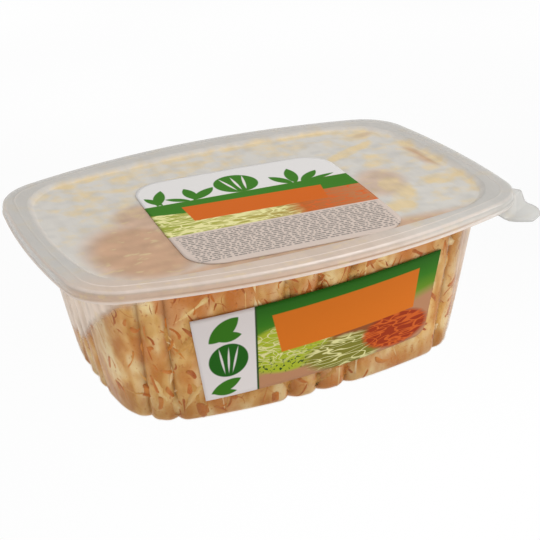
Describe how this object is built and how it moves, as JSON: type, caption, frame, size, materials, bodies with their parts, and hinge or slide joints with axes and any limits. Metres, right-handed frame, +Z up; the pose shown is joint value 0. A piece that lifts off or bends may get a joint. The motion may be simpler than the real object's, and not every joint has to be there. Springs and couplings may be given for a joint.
{
  "type": "coleslaw",
  "caption": "Coleslaw of shredded cabbage and carrot in a clear fluted deli tub with a press-on lid, pull tab and paper labels.",
  "frame": {"origin": "centre of the tub's flat base", "axes": "+X along the long side towards the pull tab's end, -Y towards the front label, +Z up to the lid"},
  "size_m": [0.1677, 0.1272, 0.0579],
  "materials": {
    "tub": "clear polypropylene sheet",
    "lid": "milky polypropylene sheet",
    "coleslaw": "moist shredded vegetables in dressing",
    "label_front": "printed, varnished",
    "label_top": "printed, varnished"
  },
  "bodies": {
    "root": {"tub": "tub", "lid": "lid", "coleslaw": "coleslaw", "label_front": "label_front", "label_top": "label_top"}
  },
  "joints": []
}
